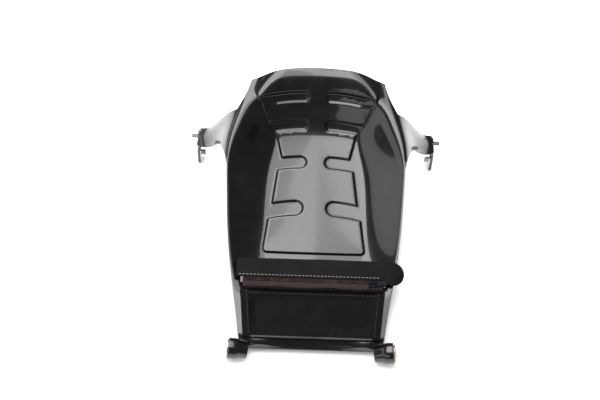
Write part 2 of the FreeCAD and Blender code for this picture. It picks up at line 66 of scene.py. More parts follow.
def ramp(tree, source, stops):
    # Colours between two stops of (place, colour).
    node = tree.nodes.new("ShaderNodeValToRGB")
    for element, (place, colour) in zip(node.color_ramp.elements, stops):
        element.position = place
        element.color = colour + (1.0,)
    tree.links.new(source, node.inputs[0])
    return node.outputs[0]


def bump(tree, shader, source, strength, distance):
    node = put(tree, "ShaderNodeBump", Strength=strength, Distance=distance)
    tree.links.new(source, node.inputs["Height"])
    tree.links.new(node.outputs[0], shader.inputs["Normal"])
    return node


def coords(tree):
    return tree.nodes.new("ShaderNodeTexCoord").outputs["Object"]


def noise(tree, where, scale, detail=4.0, rough=0.55):
    node = put(tree, "ShaderNodeTexNoise", Scale=scale, Detail=detail, Roughness=rough)
    tree.links.new(where, node.inputs["Vector"])
    return node.outputs["Fac"]


# Materials

def plastic():
    mat, tree, shader = material("black_plastic")
    where = coords(tree)
    dust = noise(tree, where, 60.0, 6.0, 0.65)
    colour = ramp(tree, dust, [(0.35, (0.0018, 0.0018, 0.002)), (0.75, (0.0045, 0.0045, 0.005))])
    tree.links.new(colour, shader.inputs["Base Color"])
    rough = ramp(tree, noise(tree, where, 25.0), [(0.3, (0.20,) * 3), (0.7, (0.30,) * 3)])
    tree.links.new(rough, shader.inputs["Roughness"])
    shader.inputs["Coat Weight"].default_value = 0.7
    shader.inputs["Coat Roughness"].default_value = 0.05
    shader.inputs["Specular IOR Level"].default_value = 0.25
    swell = bump(tree, shader, noise(tree, where, 18.0, 1.0), 0.02, 0.002)
    edge = put(tree, "ShaderNodeBevel", Radius=0.0018, samples=8)
    tree.links.new(edge.outputs[0], swell.inputs["Normal"])
    shader.inputs["IOR"].default_value = 1.5
    return mat


def leather(name, dark, light, rough, shine):
    mat, tree, shader = material(name)
    where = coords(tree)
    tone = ramp(tree, noise(tree, where, 35.0), [(0.3, dark), (0.75, light)])
    tree.links.new(tone, shader.inputs["Base Color"])
    shader.inputs["Roughness"].default_value = rough
    shader.inputs["Specular IOR Level"].default_value = shine
    cell = put(tree, "ShaderNodeTexVoronoi", Scale=900.0, feature="DISTANCE_TO_EDGE")
    tree.links.new(where, cell.inputs["Vector"])
    bump(tree, shader, cell.outputs["Distance"], 0.35, 0.0006)
    return mat


def metal(name, dark, light, rough):
    mat, tree, shader = material(name)
    where = coords(tree)
    tone = ramp(tree, noise(tree, where, 120.0, 6.0), [(0.35, dark), (0.65, light)])
    tree.links.new(tone, shader.inputs["Base Color"])
    shader.inputs["Metallic"].default_value = 1.0
    shader.inputs["Roughness"].default_value = rough
    bump(tree, shader, noise(tree, where, 400.0), 0.1, 0.0005)
    return mat


def cloth(name, dark, light):
    mat, tree, shader = material(name)
    where = coords(tree)
    weave = put(tree, "ShaderNodeTexWave", Scale=900.0, Distortion=0.6)
    tree.links.new(where, weave.inputs["Vector"])
    tone = ramp(tree, weave.outputs["Fac"], [(0.2, dark), (0.8, light)])
    tree.links.new(tone, shader.inputs["Base Color"])
    shader.inputs["Roughness"].default_value = 0.9
    bump(tree, shader, weave.outputs["Fac"], 0.3, 0.0004)
    return mat


MATS = {
    "black_plastic": plastic(),
    "dark_leather": leather(
        "dark_leather", (0.0014, 0.0011, 0.0011), (0.0030, 0.0024, 0.0024), 0.36, 0.032
    ),
    "flap_leather": leather(
        "flap_leather", (0.0035, 0.0030, 0.0030), (0.0072, 0.0064, 0.0064), 0.5, 0.045
    ),
    "zinc_steel": metal("zinc_steel", (0.50, 0.50, 0.51), (0.72, 0.72, 0.72), 0.32),
    "rusty_steel": metal("rusty_steel", (0.22, 0.13, 0.09), (0.55, 0.52, 0.50), 0.45),
    "brown_tape": cloth("brown_tape", (0.010, 0.0045, 0.004), (0.022, 0.010, 0.009)),
    "zip_metal": metal("zip_metal", (0.010, 0.006, 0.0055), (0.026, 0.017, 0.015), 0.5),
    "tape_end": cloth("tape_end", (0.10, 0.085, 0.085), (0.16, 0.14, 0.14)),
    "slider_metal": metal("slider_metal", (0.004, 0.004, 0.005), (0.010, 0.010, 0.012), 0.45),
}
slots = {s["node"]: s["material_slot"] for s in frame["record"]["subparts"]}
for name, obj in nodes.items():
    obj.data.materials.clear()
    obj.data.materials.append(MATS[slots[name]])

THREAD = cloth("thread", (0.014, 0.008, 0.007), (0.028, 0.017, 0.015))
# Pale leather for a thin strip on the hem: a painted highlight along its folded edge, far lighter than the
# black leather.
HEM_HIGHLIGHT = leather("hem_highlight", (0.030, 0.027, 0.025), (0.060, 0.054, 0.050), 0.5, 0.1)
PALE_THREAD = cloth("pale_thread", (0.11, 0.10, 0.096), (0.18, 0.165, 0.16))


# Edge and mesh helpers

def rounded(obj, width, segments, sharp):
    # Round the edges that are sharper than an angle in degrees.
    edge = obj.modifiers.new("edge", "BEVEL")
    edge.width = width
    edge.segments = segments
    edge.limit_method = "ANGLE"
    edge.angle_limit = math.radians(sharp)


# Sharp moulded and cut edges are slightly rounded.
WELD_GAP = 0.00001
ROUNDED = {
    "pouch_band_left": 0.0004, "pouch_band_right": 0.0004, "pouch_hem": 0.0004, "zip_slider": 0.0003,
    "zip_pull": 0.0003, "zip_stop": 0.0003, "clip_nut_left": 0.0003, "clip_nut_right": 0.0003,
    "rear_bush_left": 0.0003, "rear_bush_right": 0.0003, "zip_chain": 0.0002,
}
for name, width in ROUNDED.items():
    weld = nodes[name].modifiers.new("weld", "WELD")
    weld.merge_threshold = WELD_GAP
    rounded(nodes[name], width, segments=2, sharp=40)


def mesh_object(name, points, faces, mat):
    mesh = bpy.data.meshes.new(name)
    mesh.from_pydata(points, [], faces)
    mesh.update()
    mesh.shade_smooth()
    mesh.materials.append(mat)
    obj = bpy.data.objects.new(name, mesh)
    bpy.context.scene.collection.objects.link(obj)
    return obj


def tube(rings, around):
    # Faces between rings of points, each ring joined to the next.
    faces = []
    for i in range(rings):
        for k in range(around):
            a, b = i * around + k, i * around + (k + 1) % around
            faces.append((a, b, b + around, a + around))
    return faces


# Moulded shell, in millimetres before the frame's shift along Y: one row per cross-section with its
# place, floor height and half width, rim height and half width, foot of the flank and its width.
MM = 0.001
SHIFT = 12.25
SECTIONS = np.array((
    (-181, 5, 56, 8, 84.5, 3, 9),
    (-170, 15, 57, 17.5, 87.5, 4, 9),
    (-150, 22, 58, 24, 91, 4, 9),
    (-105, 30, 61, 35, 99, 4, 9),
    (-55, 33.5, 62, 53, 107, 8, 9),
    (15, 45, 62, 82, 112.5, 26, 11),
    (70, 57, 58, 101, 111, 38, 36),
    (105, 70, 53, 111, 101, 36, 57),
    (138, 102, 52, 118, 91, 38, 67),
    (159, 131, 45, 125, 85, 60, 40),
    (175, 135.5, 40, 126.5, 80, 84, 26),
    (198, 138, 38, 127, 76, 92, 24),
), dtype=float)
WALL = 3.0

# Wall profile: its power, the share rounded over at the ridge at the sides and the brow, where the brow
# begins, and where the flank outside the ridge turns into the ears.
WALL_POWER = 1.7
ROUND_SIDE, ROUND_BROW = 0.09, 0.35
BROW_START, BROW_LONG = 40.0, 60.0
EAR_START, EAR_LONG = 15.0, 45.0

# The floor's lines bow towards the rear at the sides.
BOW, BOW_HALF, BOW_POWER = 20.0, 90.0, 2.5

# Plan outline: ends, front corner, ear from its root to its tip, how far it stands outside the rim at the
# sides, notch and brow, the shares of the ear's near and far edges, and spacing.
REAR, FRONT, CORNER = -178.0, 170.4, 156.0
ROOT, NEAR, FAR, TIP, CUT = 42.0, 112.0, 141.0, 162.0, 4.0
SEEN, NOTCH, NOTCH_OUT, BROW_OUT = 1.0, 116.0, 8.0, 1.5
EAR_NEAR = ((0.86, 0.36), (0.62, 0.72), (0.12, 1.0))
EAR_FAR = ((0.71, 0.90), (0.39, 0.44))
OUTLINE_STEP, SIDE_COUNT, BROW_COUNT, FRONT_COUNT, BEND_COUNT = 1.6, 60, 24, 40, 14
ON_AXIS = 0.01

# Comb relief: height, width of its soft edge, rear corner, slots (place, width, inner end, mouth and
# the next rib's foot), last rib and where it fades into the lip.
RELIEF, RELIEF_SOFT = 2.4, 3.4
COMB_CORNER = [(0.0, -55.0), (60.0, -55.0), (63.5, -53.5), (64.5, -50.0)]
COMB_SLOTS = ((8.5, 20, 15, 59.5, 55), (72.5, 16, 12, 49.5, 44.5), (118.5, 10, 12, 53, 63))
RIB_HALF, RIB_PLACE, COMB_HALF, COMB_PLACE, COMB_PAST = 76.0, 144.0, 96.0, 150.0, 9.0
FADE_HALF, FADE_WIDE, FADE_PLACE, FADE_LONG, FADE_FROM = 74.0, 10.0, 144.0, 16.0, 120.0

# Closed slots of the front wall with their pointed outer ends, and the round inner ends of all slots.
FRONT_SLOT_PLACE, FRONT_SLOT_RADIUS, FRONT_SLOT_INNER, FRONT_SLOT_OUTER = 143.0, 3.5, 12.0, 79.0
FRONT_SLOT_POINT, TAPER_LOW, TAPER_HIGH, FRONT_SLOT_COUNT = 0.4, 4.0, 6.0, 16
ROUND_END, END_COUNT, SLOT_COUNT = 80, 11, 8

# Net of plan points: spacing, distances kept from edges, rows beside the comb and the ridge, distance at
# which points are joined, and step for the slope of the sheet.
NET_X, NET_Y, NET_CLEAR, EDGE_CLEAR = 2.6, 2.3, 2.6, 0.6
COMB_STEP = 1.2
COMB_ROWS = (-1.8, -1.2, -0.6, 0.0, 0.6, 1.2, 1.8)
RIDGE_STEP, RIDGE_START, RIDGE_END = 1.6, 0.8, 60.0
RIDGE_ROWS = (0.0, 0.8, 1.7, 2.8)
RIDGE_MIDDLE, RIDGE_CLEAR = 1.5, 2.4
JOIN, SLOPE_STEP, FAR_AWAY = 0.02, 0.2, 1e9

# Skirt below the ridge, rear lugs with a profile of (radius, depth behind the face), and the lowest and
# highest corners of the right ear's tab and tongue.
SKIRT_ROWS, SKIRT_SHARE, SKIRT_SINK, SKIRT_FOOT = 90, 0.45, 0.4, 1.0
SKIRT_INSET, SKIRT_START = 0.05, 2.0
LUG_FACE, LUG_PLACE, LUG_RADIUS, LUG_LONG, LUG_BORE = 100.9, -182.45, 13.0, 24.0, 6.05
LUG_TILT = math.radians(12)
LUG_SHORT, LUG_AROUND = 0.1, 48
LUG_BACK = LUG_LONG - LUG_SHORT
LUG_PROFILE = [
    (LUG_BORE, 0), (11.8, 0), (12.7, 0.4), (LUG_RADIUS, 1.3), (LUG_RADIUS, 9.0),
    (12.2, 12.5), (11.0, 15.5), (10.2, LUG_BACK), (LUG_BORE, LUG_BACK),
]
EAR_TAB = ((158, 110.0, 1.6), (161, 123.0, 34.5))
TONGUE = ((156, 128.0, 33.6), (170, 134.0, 35.4))
CHAMFER = 0.6
SHARP = math.radians(42)


# Form of the sheet

def spline(column):
    # Natural cubic curve through one column of the cross-sections.
    xs, ys = SECTIONS[:, 0], SECTIONS[:, column]
    h = np.diff(xs)
    n = len(xs)
    left = np.eye(n)
    right_side = np.zeros(n)
    for i in range(1, n - 1):
        left[i, i - 1:i + 2] = h[i - 1], 2 * (h[i - 1] + h[i]), h[i]
        right_side[i] = 6 * ((ys[i + 1] - ys[i]) / h[i] - (ys[i] - ys[i - 1]) / h[i - 1])
    m = np.linalg.solve(left, right_side)

    def value(x):
        x = np.clip(x, xs[0], xs[-1])
        i = np.clip(np.searchsorted(xs, x, side="right") - 1, 0, n - 2)
        a, b, w = xs[i + 1] - x, x - xs[i], h[i]
        curve = (m[i] * a ** 3 + m[i + 1] * b ** 3) / (6 * w)
        return curve + (ys[i] / w - m[i] * w / 6) * a + (ys[i + 1] / w - m[i + 1] * w / 6) * b

    return value


floor_high, floor_half, rim_high, rim_half, flank_low, flank_wide = [spline(k) for k in range(1, 7)]


def smooth(t):
    t = np.clip(t, 0, 1)
    return t * t * (3 - 2 * t)


def rise(t, y):
    # Wall profile: ever steeper, then rounded over to a ridge, narrow at the sides and broad at the brow.
    t = np.clip(t, 0, 1)
    round_over = ROUND_SIDE + (ROUND_BROW - ROUND_SIDE) * smooth((y - BROW_START) / BROW_LONG)
    turn = 1 - round_over
    curl = WALL_POWER * turn ** (WALL_POWER - 1) / (2 * round_over)
    scale = 1 / (turn ** WALL_POWER + curl * round_over ** 2)
    return np.where(t < turn, scale * t ** WALL_POWER, 1 - scale * curl * (1 - t) ** 2)


def bow(x):
    # How far a line across the floor runs back at a distance from the middle.
    return BOW * (np.abs(x) / BOW_HALF) ** BOW_POWER


def height(x, y):
    # Sheet before the relief: floor and wall inside the ridge, flank or ear outside it.
    a = np.abs(x)
    foot, rim = floor_half(y), rim_half(y)
    low = floor_high(y + bow(x))
    wall = low + (rim_high(y) - low) * rise((a - foot) / (rim - foot), y)
    out = np.clip((a - rim) / flank_wide(y), 0, 1)
    ear = smooth((y - EAR_START) / EAR_LONG)
    drop = ear * smooth(out) + (1 - ear) * (1 - (1 - out) ** 2)
    outside = rim_high(y) - (rim_high(y) - flank_low(y)) * drop
    return np.where(a <= rim, wall, outside)


# Plan outlines

def walk(points, step):
    # Points along a polyline, no further apart than the step.
    out = []
    for a, b in zip(points, points[1:]):
        a, b = np.array(a, float), np.array(b, float)
        count = max(1, int(math.ceil(np.linalg.norm(b - a) / step)))
        out += [tuple(a + (b - a) * k / count) for k in range(count)]
    return out


def bent(points):
    # Smooth curve through a few points.
    points = [np.array(q, float) for q in points]
    ends = [2 * points[0] - points[1]] + points + [2 * points[-1] - points[-2]]
    out = []
    for a, b, c, d in zip(ends, ends[1:], ends[2:], ends[3:]):
        for k in range(BEND_COUNT):
            t = k / BEND_COUNT
            square = (2 * a - 5 * b + 4 * c - d) * t * t
            cube = (3 * b - a - 3 * c + d) * t ** 3
            out.append(tuple(0.5 * (2 * b + (c - a) * t + square + cube)))
    return out + [tuple(points[-1])]


def closed(half):
    # A right half from rear to front and its mirror image, as one loop.
    return half + [(-x, y) for x, y in reversed(half) if x > ON_AXIS]


def shell_outline():
    side = [(float(rim_half(y)) + SEEN, y) for y in np.linspace(REAR, ROOT, SIDE_COUNT)]
    reach = TIP - side[-1][0]
    near = [side[-1]]
    near += [(TIP - inward * reach, ROOT + along * (NEAR - ROOT)) for inward, along in EAR_NEAR]
    notch = (float(rim_half(NOTCH)) + NOTCH_OUT, NOTCH)
    far = [(TIP - CUT, FAR)]
    for outward, along in EAR_FAR:
        far.append((notch[0] + outward * (TIP - notch[0]), NOTCH + along * (FAR - NOTCH)))
    far.append(notch)
    brow = []
    for part in np.linspace(0, 1, BROW_COUNT):
        y = NOTCH + part * (CORNER - NOTCH)
        brow.append((float(rim_half(y)) + BROW_OUT + (NOTCH_OUT - BROW_OUT) * (1 - part) ** 2, y))
    edge = [brow[-1][0] * (1 - k / FRONT_COUNT) for k in range(1, FRONT_COUNT + 1)]
    front = [(x, FRONT - (FRONT - CORNER) * (x / brow[-1][0]) ** 2) for x in edge]
    tip = [(TIP, NEAR + CUT), (TIP, FAR - CUT)]
    half = side[:-1] + bent(near) + tip + bent(far)[:-1] + brow + front
    return closed(walk(half + [(0.0, FRONT)], OUTLINE_STEP) + [(0.0, FRONT)])


def along_bow(xs, place):
    # Points of a line across the floor that is bowed.
    return [(x, place - float(bow(x))) for x in xs]


def slot_end(place, radius, inner, way):
    # Round inner end of a slot, from rear to front or the other way.
    out = []
    for turn in np.linspace(-way * ROUND_END, way * ROUND_END, END_COUNT):
        x = inner + radius - radius * math.cos(math.radians(turn))
        out.append((x, place + radius * math.sin(math.radians(turn)) - float(bow(x))))
    return out


def comb_outline():
    # Spine and ribs, with open slots between the ribs.
    half = list(COMB_CORNER)
    for place, wide, inner, mouth, foot in COMB_SLOTS:
        r = wide / 2
        half += along_bow(np.linspace(mouth, inner + r, SLOT_COUNT), place - r)
        half += slot_end(place, r, inner, 1)
        half += along_bow(np.linspace(inner + r, foot, SLOT_COUNT), place + r)
    half += along_bow([RIB_HALF], RIB_PLACE)
    half += [(COMB_HALF, COMB_PLACE), (COMB_HALF, FRONT + COMB_PAST), (0.0, FRONT + COMB_PAST)]
    return closed(half)


def front_slot(side):
    # Closed slot across the top of the front wall, pointed at its outer end.
    r, inner, outer, place = FRONT_SLOT_RADIUS, FRONT_SLOT_INNER, FRONT_SLOT_OUTER, FRONT_SLOT_PLACE
    loop = along_bow(np.linspace(inner + r, outer - TAPER_LOW, FRONT_SLOT_COUNT), place - r)
    loop += along_bow([outer], place - FRONT_SLOT_POINT * r)
    loop += along_bow(np.linspace(outer - TAPER_HIGH, inner + r, FRONT_SLOT_COUNT), place + r)
    loop += slot_end(place, r, inner, -1)
    return [(side * x, y) for x, y in loop]


def inside(loop, px, py):
    hit = np.zeros(len(px), bool)
    for (x0, y0), (x1, y1) in zip(loop, loop[1:] + loop[:1]):
        if y0 != y1:
            hit ^= ((y0 > py) != (y1 > py)) & (px < (x1 - x0) * (py - y0) / (y1 - y0) + x0)
    return hit


def distance(loop, px, py):
    # Distance to a closed loop, positive inside it.
    best = np.full(len(px), FAR_AWAY)
    for (x0, y0), (x1, y1) in zip(loop, loop[1:] + loop[:1]):
        dx, dy = x1 - x0, y1 - y0
        long = max(dx * dx + dy * dy, 1e-9)
        t = np.clip(((px - x0) * dx + (py - y0) * dy) / long, 0, 1)
        best = np.minimum(best, np.hypot(px - x0 - t * dx, py - y0 - t * dy))
    return np.where(inside(loop, px, py), best, -best)


OUTLINE = shell_outline()
COMB = comb_outline()
SLOTS = [front_slot(1), front_slot(-1)]


def relief(px, py):
    # Lift of the comb with its soft edge, fading out towards the lip.
    near = distance(COMB, px, py)
    for loop in SLOTS:
        near = np.minimum(near, -distance(loop, px, py))
    fade = 1 - smooth((np.abs(px) - FADE_HALF) / FADE_WIDE)
    fade = fade * (1 - smooth((py - FADE_PLACE + bow(px)) / FADE_LONG))
    return RELIEF * smooth(0.5 + near / RELIEF_SOFT) * np.where(py > FADE_FROM, fade, 1.0)


# Mesh of the shell

def shell_points():
    # Plan points: an even net, left out beside the comb's edges and the ridge, where closer rows follow them.
    pts = []
    for j, y in enumerate(np.arange(REAR, FRONT, NET_Y)):
        pts += [(x + NET_X / 2 * (j % 2), y) for x in np.arange(-TIP, TIP, NET_X)]
    net = np.array(pts)
    clear = np.full(len(net), FAR_AWAY)
    for loop in [COMB] + SLOTS:
        clear = np.minimum(clear, np.abs(distance(loop, net[:, 0], net[:, 1])))
    pts = [tuple(q) for q in net[clear > NET_CLEAR]]
    for loop in [COMB] + SLOTS:
        line = np.array(walk(loop + loop[:1], COMB_STEP))
        along = np.roll(line, -1, 0) - np.roll(line, 1, 0)
        along /= np.maximum(np.linalg.norm(along, axis=1), 1e-6)[:, None]
        for off in COMB_ROWS:
            pts += [tuple(q) for q in line + off * np.stack((-along[:, 1], along[:, 0]), 1)]
    pts = np.array(pts)
    ridge = rim_half(pts[:, 1]) - np.abs(pts[:, 0])
    beside = (np.abs(ridge - RIDGE_MIDDLE) < RIDGE_CLEAR) & (pts[:, 1] < RIDGE_END)
    pts = pts[~beside]
    along = np.arange(REAR + RIDGE_START, RIDGE_END, RIDGE_STEP)
    for inward in RIDGE_ROWS:
        for side in (-1, 1):
            pts = np.concatenate((pts, np.stack((side * (rim_half(along) - inward), along), 1)))
    keep = distance(OUTLINE, pts[:, 0], pts[:, 1]) > EDGE_CLEAR
    return [tuple(q) for q in pts[keep]]


def moulded_skin():
    # Top and bottom skins over a triangulated plan, and the cut edge between them.
    flat = [Vector(q) for q in OUTLINE + shell_points()]
    cut = delaunay_2d_cdt(flat, [], [list(range(len(OUTLINE)))], 1, JOIN)
    px, py = np.array([(q.x, q.y) for q in cut[0]]).T
    triangles = [tuple(t) for t in cut[2]]
    step = SLOPE_STEP
    slope_x = (height(px + step, py) - height(px - step, py)) / (2 * step)
    slope_y = (height(px, py + step) - height(px, py - step)) / (2 * step)
    normals = np.stack((-slope_x, -slope_y, np.ones(len(px))), 1)
    normals /= np.linalg.norm(normals, axis=1)[:, None]
    middle = np.stack((px, py, height(px, py)), 1)
    top = middle + normals * relief(px, py)[:, None]
    low = middle - normals * WALL
    border = {}
    for t in triangles:
        for a, b in zip(t, t[1:] + t[:1]):
            if (b, a) in border:
                del border[(b, a)]
            else:
                border[(a, b)] = True
    count = len(px)
    faces = triangles + [tuple(count + k for k in reversed(t)) for t in triangles]
    faces += [(b, a, count + a, count + b) for a, b in border]
    return [tuple(q) for q in top] + [tuple(q) for q in low], faces


def lug(side):
    # The profile turned about the outward axis.
    around = LUG_AROUND
    high = LUG_RADIUS * math.cos(LUG_TILT) + LUG_LONG * math.sin(LUG_TILT)
    face = Vector((side * LUG_FACE, LUG_PLACE, high))
    out = Vector((side * math.cos(LUG_TILT), 0, math.sin(LUG_TILT))).normalized()
    one = out.cross(Vector((0, 1, 0))).normalized()
    two = out.cross(one)
    verts = []
    for radius, depth in LUG_PROFILE:
        for k in range(around):
            turn = 2 * math.pi * k / around
            verts.append(face - out * depth + (one * math.cos(turn) + two * math.sin(turn)) * radius)
    faces = []
    rows = len(LUG_PROFILE)
    for j in range(rows):
        for k in range(around):
            a, b = j * around + k, j * around + (k + 1) % around
            c, d = ((j + 1) % rows) * around + (k + 1) % around, ((j + 1) % rows) * around + k
            faces.append((d, c, b, a))
    return verts, faces


def block(side, low, high):
    # Box with chamfered upright edges.
    (x0, y0, z0), (x1, y1, z1) = low, high
    x0, x1 = sorted((side * x0, side * x1))
    soft = CHAMFER
    loop = [
        (x0 + soft, y0), (x1 - soft, y0), (x1, y0 + soft), (x1, y1 - soft),
        (x1 - soft, y1), (x0 + soft, y1), (x0, y1 - soft), (x0, y0 + soft),
    ]
    n = len(loop)
    faces = [(k, (k + 1) % n, n + (k + 1) % n, n + k) for k in range(n)]
    faces += [tuple(range(n - 1, -1, -1)), tuple(range(n, 2 * n))]
    return [q + (z0,) for q in loop] + [q + (z1,) for q in loop], faces


def skirt(side):
    # Upright skirt below the narrow ridge, from the rear to the root of the ear.
    along = np.linspace(REAR + SKIRT_START, ROOT, SKIRT_ROWS)
    out = rim_half(along) + SEEN - SKIRT_INSET
    top = height(out, along) - SKIRT_SINK
    low = np.maximum(top - SKIRT_SHARE * (rim_high(along) - flank_low(along)), SKIRT_FOOT)
    verts = []
    for x, y, high, foot in zip(out, along, top, low):
        outer, inner = side * x, side * (x - WALL)
        verts += [(outer, y, high), (inner, y, high), (inner, y, foot), (outer, y, foot)]
    faces = [(3, 2, 1, 0), tuple(len(verts) - 4 + k for k in range(4))]
    faces += tube(len(along) - 1, 4)
    return verts, faces if side > 0 else [tuple(reversed(f)) for f in faces]


def moulded_shell():
    # Skin, lugs, skirts, tabs and tongues in one mesh.
    forms = [moulded_skin()]
    for side in (-1, 1):
        forms += [lug(side), skirt(side), block(side, *EAR_TAB), block(side, *TONGUE)]
    verts = []
    faces = []
    for points, polygons in forms:
        first = len(verts)
        verts += [(x * MM, (y + SHIFT) * MM, z * MM) for x, y, z in points]
        faces += [tuple(first + k for k in f) for f in polygons]
    shell = mesh_object("moulded_shell", verts, faces, MATS["black_plastic"])
    shell.data.set_sharp_from_angle(angle=SHARP)
    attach(shell, "cover")
    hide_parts("cover_shell")


# Frame of the pouch: X across, Y up its slope, Z out of the leather, in millimetres.
POUCH_PLACE = (0, -0.15775, 0.0252)
POUCH_SLOPE = math.radians(14.6)
POUCH = Matrix.Translation(POUCH_PLACE) @ Matrix.Rotation(POUCH_SLOPE, 4, "X") @ Matrix.Scale(MM, 4)
PANEL_LONG, HALF_LOW, HALF_TOP, LEATHER, BAND = 62.0, 82.0, 88.0, 1.8, 8.0

# Front panel: its net, the lift of its underside, how far its seams are from its edges, and simulation.
PANEL_COLS, PANEL_ROWS, PANEL_LIFT = 88, 34, 0.1
SEAM_SIDE, SEAM_LOW, SEAM_TOP = 0.5, 4.5, 3.0
BLOW_FRAMES = 30

# Pale strip painted as the highlight along the hem's fold: half length, columns, rows up the slope, top and
# thickness.
HEM_HALF, HEM_COLS, HEM_ROWS, HEM_TOP, HEM_THICK = 73.5, 60, (-1.2, 0.9), 3.15, 0.5

# Rolled top edge: net, size and place, shape of its ends, and waves of (height, rate, start).
RING, ALONG = 12, 70
ROLL_FAT, ROLL_WIDE, ROLL_BACK, ROLL_HIGH = 2.0, 1.25, 2.0, 2.3
ROLL_INSET, ROLL_END, ROLL_POWER, ROLL_LEAST = 0.6, 0.5, 40, 0.3
ROLL_WAVES = ((0.18, 0.11, 0.0), (0.12, 0.31, 1.0))
ROLL_SWAY = ((0.25, 0.07, 0.0),)

# Laid flap: place and size, half-round tab, corner, net, rounded edge, waves of its free part and dip.
FLAP_START, FLAP_WIDE, FLAP_LEFT, FLAP_RIGHT, FLAP_TAB = 75.0, 24.0, 95.0, 98.0, 15.0
FLAP_CORNER, FLAP_SHORT, FLAP_COLS, FLAP_ROWS = 5.0, 0.2, 130, 16
FLAP_ROUND = 0.0006
FLAP_HELD, DIP_START, DIP = 6.0, 84.0, 0.0045
FLAP_WAVES = ((0.9, 0.045, 0.6), (0.5, 0.11, 0.0))

# Thread: pitch, half sizes across and out of the leather, net and blunt ends.
PITCH = 4.6
THREAD_WIDE, THREAD_HIGH, THREAD_RINGS, THREAD_AROUND = 0.55, 0.45, 6, 8
THREAD_BLUNT, THREAD_END = 0.6, 0.02

# Stitch rows: ends of the row, the seam's place or distance from an edge, height and half length.
PROUD = 0.1
BAND_FIRST, BAND_COUNT, BAND_SEAM, BAND_HIGH, BAND_LEAN, BAND_STITCH = 5.0, 12, 1.4, 1.15, 0.1, 1.7
PANEL_ROW, PANEL_SEAM, PANEL_STITCH, RAY_START = (-76, 77), 54.5, 1.6, 30.0
FLAP_ROW, FLAP_SEAM, FLAP_STITCH = (-90, 84), 2.6, 1.6
ZIP_ROW, ZIP_SEAM, ZIP_HIGH, ZIP_STITCH = (-82, 83), 3.2, -0.05, 1.4


def half_at(y):
    # Half width of the front panel.
    return HALF_LOW + (HALF_TOP - HALF_LOW) * y / PANEL_LONG


def waves(x, rows):
    return sum(high * math.sin(x * rate + start) for high, rate, start in rows)


def piece(name, points, faces, mat, body):
    # A visible piece from points in the frame of the pouch, riding on a body.
    obj = mesh_object(name, [POUCH @ Vector(p) for p in points], faces, mat)
    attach(obj, body)
    return obj


def slab(grid, thick):
    # Closed sheet between a grid of top points and the same grid lower by the thickness.
    rows = len(grid)
    cols = len(grid[0])
    top = [p for line in grid for p in line]
    points = top + [(x, y, z - thick) for x, y, z in top]
    low = len(top)
    faces = []
    for j in range(rows - 1):
        for i in range(cols - 1):
            a, b, c, d = j * cols + i, j * cols + i + 1, (j + 1) * cols + i + 1, (j + 1) * cols + i
            faces.append((a, b, c, d))
            faces.append((low + d, low + c, low + b, low + a))
    border = list(range(cols)) + [j * cols + cols - 1 for j in range(1, rows)]
    border += [(rows - 1) * cols + i for i in range(cols - 2, -1, -1)]
    border += [j * cols for j in range(rows - 2, 0, -1)]
    for a, b in zip(border, border[1:] + border[:1]):
        faces.append((b, a, low + a, low + b))
    return points, faces


def front_panel():
    # A stitched leather cushion, blown up a little between its seams by a cloth simulation.
    grid = []
    for j in range(PANEL_ROWS + 1):
        y = PANEL_LONG * j / PANEL_ROWS
        grid.append([(half_at(y) * (2 * i / PANEL_COLS - 1), y, LEATHER) for i in range(PANEL_COLS + 1)])
    points, faces = slab(grid, LEATHER - PANEL_LIFT)
    panel = piece("pouch_front_panel", points, faces, MATS["dark_leather"], "cover")
    pins = panel.vertex_groups.new(name="seams")
    for k, (x, y, z) in enumerate(points):
        at_side = abs(x) > half_at(y) - BAND - SEAM_SIDE
        if z < LEATHER or at_side or y < SEAM_LOW or y > PANEL_LONG - SEAM_TOP:
            pins.add([k], 1.0, "REPLACE")
    blow = panel.modifiers.new("cloth", "CLOTH")
    blow.settings.quality = 6
    blow.settings.mass = 0.05
    blow.settings.tension_stiffness = 20
    blow.settings.compression_stiffness = 20
    blow.settings.bending_stiffness = 0.4
    blow.settings.vertex_group_mass = "seams"
    blow.settings.shrink_min = -0.006
    blow.settings.use_pressure = True
    blow.settings.uniform_pressure_force = 0.7
    blow.settings.effector_weights.gravity = 0.4
    scene = bpy.context.scene
    for moment in range(1, BLOW_FRAMES + 1):
        scene.frame_set(moment)
    blown = panel.evaluated_get(bpy.context.evaluated_depsgraph_get())
    settled = bpy.data.meshes.new_from_object(blown)
    panel.modifiers.clear()
    panel.data = settled
    scene.frame_set(1)
    settled.shade_smooth()
    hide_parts("pouch_front")
    return panel


# Thin pale strip laid on the hem, a painted highlight along its folded edge.
def hem_highlight():
    across = np.linspace(-HEM_HALF, HEM_HALF, HEM_COLS)
    points, faces = slab([[(x, y, HEM_TOP) for x in across] for y in HEM_ROWS], HEM_THICK)
    piece("hem_highlight", points, faces, HEM_HIGHLIGHT, "cover")


def pouch_roll():
    # The panel's top edge, turned over into a thick, slightly uneven roll.
    points = []
    for i in range(ALONG + 1):
        x = (HALF_TOP - ROLL_INSET) * (2 * i / ALONG - 1)
        end = math.sqrt(max(0.0, 1 - (abs(x) / (HALF_TOP - ROLL_END)) ** ROLL_POWER))
        fat = (ROLL_FAT + waves(x, ROLL_WAVES)) * max(end, ROLL_LEAST)
        for k in range(RING):
            turn = 2 * math.pi * k / RING
            y = PANEL_LONG - ROLL_BACK + ROLL_WIDE * fat * math.cos(turn) + waves(x, ROLL_SWAY)
            points.append((x, y, ROLL_HIGH + fat * math.sin(turn)))
    faces = tube(ALONG, RING)
    faces.append(tuple(range(RING - 1, -1, -1)))
    faces.append(tuple(range(ALONG * RING, ALONG * RING + RING)))
    piece("pouch_roll", points, faces, MATS["dark_leather"], "cover")


def flap_lift(x, y):
    # The laid flap dips at its ends and its free edge waves a little.
    free = max(0.0, (y - FLAP_START - FLAP_HELD) / FLAP_WIDE)
    return free * waves(x, FLAP_WAVES) - DIP * max(0.0, abs(x) - DIP_START) ** 2


